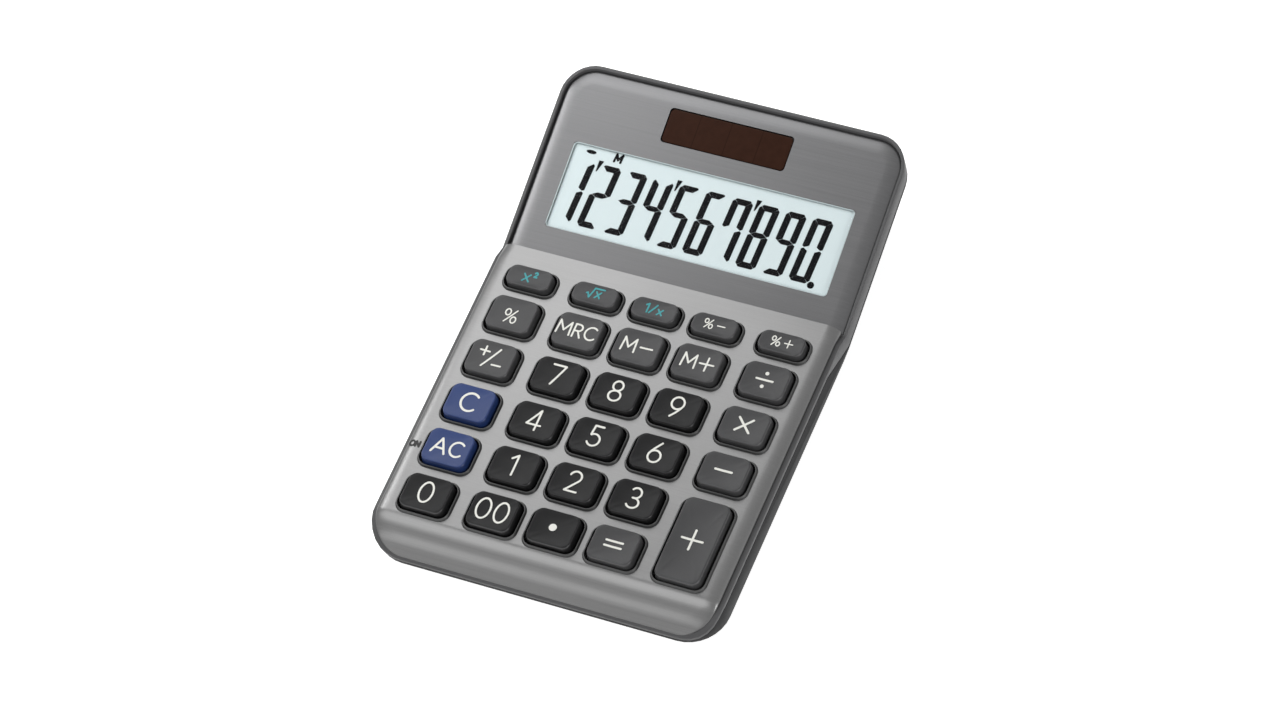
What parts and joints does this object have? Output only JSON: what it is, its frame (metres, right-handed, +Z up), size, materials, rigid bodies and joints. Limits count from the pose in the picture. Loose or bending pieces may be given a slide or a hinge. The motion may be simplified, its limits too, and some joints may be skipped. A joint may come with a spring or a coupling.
{
  "type": "desk calculator",
  "caption": "Desk calculator with a raised tilted display, a solar cell, sprung keys in a brushed metal face and a battery under a screwed door.",
  "frame": {"origin": "on the surface that the feet rest on, under the middle of the object", "axes": "+X to the right as used, +Y to the rear, towards the display, +Z up"},
  "size_m": [0.103, 0.1526, 0.0298],
  "materials": {
    "face_metal": "fine brushed, bright silver",
    "display_metal": "fine brushed, dark grey, with a brighter bevelled border",
    "rim_plastic": "satin grey moulding",
    "case_plastic": "fine matte dark moulding",
    "key_black": "satin black moulding with printed pale legends",
    "key_grey": "satin dark grey moulding with printed pale legends",
    "key_blue": "satin blue moulding with printed pale legends",
    "window": "clear polished",
    "crystal": "pale display glass with dark segments",
    "reflector": "satin foil",
    "holder_plastic": "matte",
    "ribbon": "amber film",
    "solar": "glossy dark brown cell under glass",
    "lead_red": "insulated wire",
    "lead_black": "insulated wire",
    "silicone": "matte silicone",
    "board": "solder mask over copper",
    "resin": "glossy resin",
    "battery_steel": "satin",
    "contact_steel": "plated spring strip",
    "screw_steel": "zinc plated",
    "foot_rubber": "matte"
  },
  "bodies": {
    "case": {"keyboard_plate": "face_metal", "display_panel": "display_metal", "upper_case": "rim_plastic", "lower_case": "case_plastic", "display_window": "window", "lcd_cell": "crystal", "lcd_reflector": "reflector", "lcd_frame": "holder_plastic", "lcd_ribbon": "ribbon", "solar_cell": "solar", "solar_wire_positive": "lead_red", "solar_wire_negative": "lead_black", "keypad_mat": "silicone", "main_board": "board", "controller_chip": "resin", "battery_cell": "battery_steel", "battery_contact_positive": "contact_steel", "battery_contact_negative": "contact_steel", "battery_door": "case_plastic", "battery_door_screw": "screw_steel", "case_screw_front_left": "screw_steel", "foot_front_left": "foot_rubber", "case_screw_front_right": "screw_steel", "foot_front_right": "foot_rubber", "case_screw_rear_left": "screw_steel", "foot_rear_left": "foot_rubber", "case_screw_rear_right": "screw_steel", "foot_rear_right": "foot_rubber"},
    "key_cost": {"key_cost": "key_grey"},
    "key_sell": {"key_sell": "key_grey"},
    "key_margin": {"key_margin": "key_grey"},
    "key_tax_minus": {"key_tax_minus": "key_grey"},
    "key_tax_plus": {"key_tax_plus": "key_grey"},
    "key_percent": {"key_percent": "key_grey"},
    "key_memory_recall": {"key_memory_recall": "key_grey"},
    "key_memory_minus": {"key_memory_minus": "key_grey"},
    "key_memory_plus": {"key_memory_plus": "key_grey"},
    "key_divide": {"key_divide": "key_grey"},
    "key_sign": {"key_sign": "key_grey"},
    "key_7": {"key_7": "key_black"},
    "key_8": {"key_8": "key_black"},
    "key_9": {"key_9": "key_black"},
    "key_multiply": {"key_multiply": "key_grey"},
    "key_clear": {"key_clear": "key_blue"},
    "key_4": {"key_4": "key_black"},
    "key_5": {"key_5": "key_black"},
    "key_6": {"key_6": "key_black"},
    "key_minus": {"key_minus": "key_grey"},
    "key_all_clear": {"key_all_clear": "key_blue"},
    "key_1": {"key_1": "key_black"},
    "key_2": {"key_2": "key_black"},
    "key_3": {"key_3": "key_black"},
    "key_0": {"key_0": "key_black"},
    "key_00": {"key_00": "key_black"},
    "key_decimal": {"key_decimal": "key_black"},
    "key_equals": {"key_equals": "key_grey"},
    "key_plus": {"key_plus": "key_grey"}
  },
  "joints": [
    {"name": "key_cost_press", "type": "slide", "parent": "case", "child": "key_cost", "axis": [0, 0.0523, -0.9986], "range_m": [0, 0.0015], "stiffness_N_per_m": 400, "springref_m": -0.0005},
    {"name": "key_sell_press", "type": "slide", "parent": "case", "child": "key_sell", "axis": [0, 0.0523, -0.9986], "range_m": [0, 0.0015], "stiffness_N_per_m": 400, "springref_m": -0.0005},
    {"name": "key_margin_press", "type": "slide", "parent": "case", "child": "key_margin", "axis": [0, 0.0523, -0.9986], "range_m": [0, 0.0015], "stiffness_N_per_m": 400, "springref_m": -0.0005},
    {"name": "key_tax_minus_press", "type": "slide", "parent": "case", "child": "key_tax_minus", "axis": [0, 0.0523, -0.9986], "range_m": [0, 0.0015], "stiffness_N_per_m": 400, "springref_m": -0.0005},
    {"name": "key_tax_plus_press", "type": "slide", "parent": "case", "child": "key_tax_plus", "axis": [0, 0.0523, -0.9986], "range_m": [0, 0.0015], "stiffness_N_per_m": 400, "springref_m": -0.0005},
    {"name": "key_percent_press", "type": "slide", "parent": "case", "child": "key_percent", "axis": [0, 0.0523, -0.9986], "range_m": [0, 0.0015], "stiffness_N_per_m": 400, "springref_m": -0.0005},
    {"name": "key_memory_recall_press", "type": "slide", "parent": "case", "child": "key_memory_recall", "axis": [0, 0.0523, -0.9986], "range_m": [0, 0.0015], "stiffness_N_per_m": 400, "springref_m": -0.0005},
    {"name": "key_memory_minus_press", "type": "slide", "parent": "case", "child": "key_memory_minus", "axis": [0, 0.0523, -0.9986], "range_m": [0, 0.0015], "stiffness_N_per_m": 400, "springref_m": -0.0005},
    {"name": "key_memory_plus_press", "type": "slide", "parent": "case", "child": "key_memory_plus", "axis": [0, 0.0523, -0.9986], "range_m": [0, 0.0015], "stiffness_N_per_m": 400, "springref_m": -0.0005},
    {"name": "key_divide_press", "type": "slide", "parent": "case", "child": "key_divide", "axis": [0, 0.0523, -0.9986], "range_m": [0, 0.0015], "stiffness_N_per_m": 400, "springref_m": -0.0005},
    {"name": "key_sign_press", "type": "slide", "parent": "case", "child": "key_sign", "axis": [0, 0.0523, -0.9986], "range_m": [0, 0.0015], "stiffness_N_per_m": 400, "springref_m": -0.0005},
    {"name": "key_7_press", "type": "slide", "parent": "case", "child": "key_7", "axis": [0, 0.0523, -0.9986], "range_m": [0, 0.0015], "stiffness_N_per_m": 400, "springref_m": -0.0005},
    {"name": "key_8_press", "type": "slide", "parent": "case", "child": "key_8", "axis": [0, 0.0523, -0.9986], "range_m": [0, 0.0015], "stiffness_N_per_m": 400, "springref_m": -0.0005},
    {"name": "key_9_press", "type": "slide", "parent": "case", "child": "key_9", "axis": [0, 0.0523, -0.9986], "range_m": [0, 0.0015], "stiffness_N_per_m": 400, "springref_m": -0.0005},
    {"name": "key_multiply_press", "type": "slide", "parent": "case", "child": "key_multiply", "axis": [0, 0.0523, -0.9986], "range_m": [0, 0.0015], "stiffness_N_per_m": 400, "springref_m": -0.0005},
    {"name": "key_clear_press", "type": "slide", "parent": "case", "child": "key_clear", "axis": [0, 0.0523, -0.9986], "range_m": [0, 0.0015], "stiffness_N_per_m": 400, "springref_m": -0.0005},
    {"name": "key_4_press", "type": "slide", "parent": "case", "child": "key_4", "axis": [0, 0.0523, -0.9986], "range_m": [0, 0.0015], "stiffness_N_per_m": 400, "springref_m": -0.0005},
    {"name": "key_5_press", "type": "slide", "parent": "case", "child": "key_5", "axis": [0, 0.0523, -0.9986], "range_m": [0, 0.0015], "stiffness_N_per_m": 400, "springref_m": -0.0005},
    {"name": "key_6_press", "type": "slide", "parent": "case", "child": "key_6", "axis": [0, 0.0523, -0.9986], "range_m": [0, 0.0015], "stiffness_N_per_m": 400, "springref_m": -0.0005},
    {"name": "key_minus_press", "type": "slide", "parent": "case", "child": "key_minus", "axis": [0, 0.0523, -0.9986], "range_m": [0, 0.0015], "stiffness_N_per_m": 400, "springref_m": -0.0005},
    {"name": "key_all_clear_press", "type": "slide", "parent": "case", "child": "key_all_clear", "axis": [0, 0.0523, -0.9986], "range_m": [0, 0.0015], "stiffness_N_per_m": 400, "springref_m": -0.0005},
    {"name": "key_1_press", "type": "slide", "parent": "case", "child": "key_1", "axis": [0, 0.0523, -0.9986], "range_m": [0, 0.0015], "stiffness_N_per_m": 400, "springref_m": -0.0005},
    {"name": "key_2_press", "type": "slide", "parent": "case", "child": "key_2", "axis": [0, 0.0523, -0.9986], "range_m": [0, 0.0015], "stiffness_N_per_m": 400, "springref_m": -0.0005},
    {"name": "key_3_press", "type": "slide", "parent": "case", "child": "key_3", "axis": [0, 0.0523, -0.9986], "range_m": [0, 0.0015], "stiffness_N_per_m": 400, "springref_m": -0.0005},
    {"name": "key_0_press", "type": "slide", "parent": "case", "child": "key_0", "axis": [0, 0.0523, -0.9986], "range_m": [0, 0.0015], "stiffness_N_per_m": 400, "springref_m": -0.0005},
    {"name": "key_00_press", "type": "slide", "parent": "case", "child": "key_00", "axis": [0, 0.0523, -0.9986], "range_m": [0, 0.0015], "stiffness_N_per_m": 400, "springref_m": -0.0005},
    {"name": "key_decimal_press", "type": "slide", "parent": "case", "child": "key_decimal", "axis": [0, 0.0523, -0.9986], "range_m": [0, 0.0015], "stiffness_N_per_m": 400, "springref_m": -0.0005},
    {"name": "key_equals_press", "type": "slide", "parent": "case", "child": "key_equals", "axis": [0, 0.0523, -0.9986], "range_m": [0, 0.0015], "stiffness_N_per_m": 400, "springref_m": -0.0005},
    {"name": "key_plus_press", "type": "slide", "parent": "case", "child": "key_plus", "axis": [0, 0.0523, -0.9986], "range_m": [0, 0.0015], "stiffness_N_per_m": 400, "springref_m": -0.0005}
  ]
}
